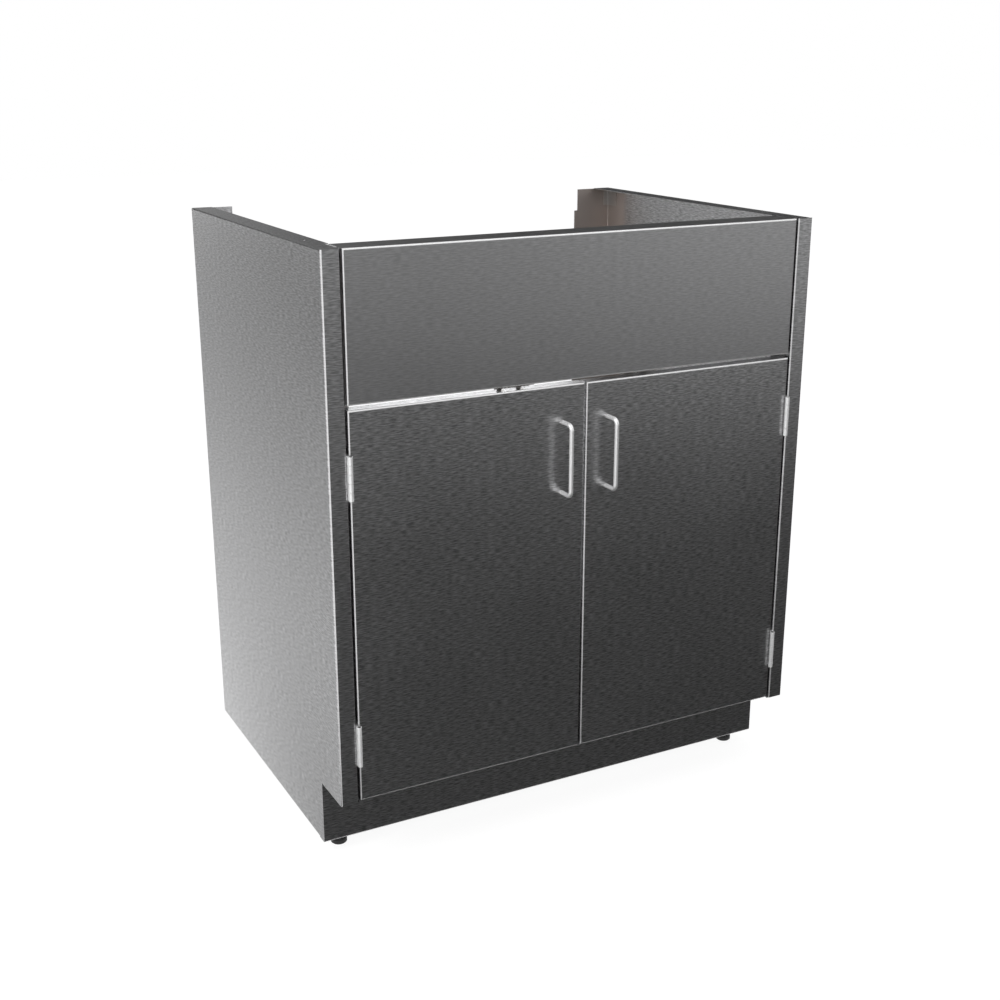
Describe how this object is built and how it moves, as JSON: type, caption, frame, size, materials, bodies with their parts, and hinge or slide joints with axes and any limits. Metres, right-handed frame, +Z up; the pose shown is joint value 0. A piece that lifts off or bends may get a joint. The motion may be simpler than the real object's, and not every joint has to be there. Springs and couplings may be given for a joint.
{
  "type": "outdoor kitchen cabinet",
  "caption": "Free-standing outdoor kitchen base cabinet of folded stainless sheet: hinged doors under a fixed apron, open top and back, toe space, levelling feet.",
  "frame": {"origin": "on the floor, in the middle of the cabinet's width and of its depth from handle to rear flange", "axes": "+X to the right as seen from the front, +Y to the back, +Z up; the doors face -Y"},
  "size_m": [0.762, 0.5874, 0.8805],
  "materials": {
    "brushed_front_sheet": "grained along X, satin",
    "brushed_side_sheet": "grained along Z, satin",
    "mill_sheet": "plain mill finish",
    "satin_steel_rod": "polished satin",
    "bright_hinge_steel": "tumbled bright",
    "zinc_steel": "plain bright",
    "black_plastic": "moulded, matt",
    "black_rubber": "moulded, matt",
    "catch_plastic": "moulded, matt"
  },
  "bodies": {
    "carcass": {"left_side_panel": "brushed_side_sheet", "right_side_panel": "brushed_side_sheet", "apron_panel": "brushed_front_sheet", "left_apron_bracket": "mill_sheet", "right_apron_bracket": "mill_sheet", "apron_screws": "zinc_steel", "bottom_shelf": "mill_sheet", "shelf_screws": "zinc_steel", "toe_board": "brushed_front_sheet", "rear_rail": "mill_sheet", "rear_rail_screws": "zinc_steel", "left_rear_corner_clip": "mill_sheet", "right_rear_corner_clip": "mill_sheet", "foot_nuts": "zinc_steel", "hinge_frame_screws": "zinc_steel", "left_catch_bracket": "mill_sheet", "right_catch_bracket": "mill_sheet", "left_magnetic_catch": "catch_plastic", "right_magnetic_catch": "catch_plastic", "catch_screws": "zinc_steel", "left_front_foot_bracket": "mill_sheet", "left_rear_foot_bracket": "mill_sheet", "right_front_foot_bracket": "mill_sheet", "right_rear_foot_bracket": "mill_sheet", "left_lower_hinge_frame_leaf": "bright_hinge_steel", "left_upper_hinge_frame_leaf": "bright_hinge_steel", "right_lower_hinge_frame_leaf": "bright_hinge_steel", "right_upper_hinge_frame_leaf": "bright_hinge_steel", "left_lower_hinge_pin": "bright_hinge_steel", "left_upper_hinge_pin": "bright_hinge_steel", "right_lower_hinge_pin": "bright_hinge_steel", "right_upper_hinge_pin": "bright_hinge_steel"},
    "left_door": {"left_door_outer_pan": "brushed_front_sheet", "left_door_inner_pan": "mill_sheet", "left_door_stiffener": "mill_sheet", "left_door_handle": "satin_steel_rod", "left_handle_screws": "zinc_steel", "left_lower_hinge_door_leaf": "bright_hinge_steel", "left_upper_hinge_door_leaf": "bright_hinge_steel", "left_hinge_door_screws": "zinc_steel", "left_catch_strike": "mill_sheet", "left_door_buffers": "black_rubber"},
    "right_door": {"right_door_outer_pan": "brushed_front_sheet", "right_door_inner_pan": "mill_sheet", "right_door_stiffener": "mill_sheet", "right_door_handle": "satin_steel_rod", "right_handle_screws": "zinc_steel", "right_lower_hinge_door_leaf": "bright_hinge_steel", "right_upper_hinge_door_leaf": "bright_hinge_steel", "right_hinge_door_screws": "zinc_steel", "right_catch_strike": "mill_sheet", "right_door_buffers": "black_rubber"},
    "left_front_foot": {"left_front_foot_stud": "zinc_steel", "left_front_foot_pad": "black_plastic"},
    "left_rear_foot": {"left_rear_foot_stud": "zinc_steel", "left_rear_foot_pad": "black_plastic"},
    "right_front_foot": {"right_front_foot_stud": "zinc_steel", "right_front_foot_pad": "black_plastic"},
    "right_rear_foot": {"right_rear_foot_stud": "zinc_steel", "right_rear_foot_pad": "black_plastic"}
  },
  "joints": [
    {"name": "left_door_hinge", "type": "hinge", "parent": "carcass", "child": "left_door", "pos_m": [-0.3523, -0.26921, 0.396], "axis": [0, 0, -1], "range_deg": [0, 180]},
    {"name": "right_door_hinge", "type": "hinge", "parent": "carcass", "child": "right_door", "pos_m": [0.3523, -0.26921, 0.396], "axis": [0, 0, 1], "range_deg": [0, 180]},
    {"name": "left_front_foot_screw", "type": "slide", "parent": "carcass", "child": "left_front_foot", "axis": [0, 0, -1], "range_m": [-0.006, 0.019]},
    {"name": "left_rear_foot_screw", "type": "slide", "parent": "carcass", "child": "left_rear_foot", "axis": [0, 0, -1], "range_m": [-0.006, 0.019]},
    {"name": "right_front_foot_screw", "type": "slide", "parent": "carcass", "child": "right_front_foot", "axis": [0, 0, -1], "range_m": [-0.006, 0.019]},
    {"name": "right_rear_foot_screw", "type": "slide", "parent": "carcass", "child": "right_rear_foot", "axis": [0, 0, -1], "range_m": [-0.006, 0.019]}
  ]
}
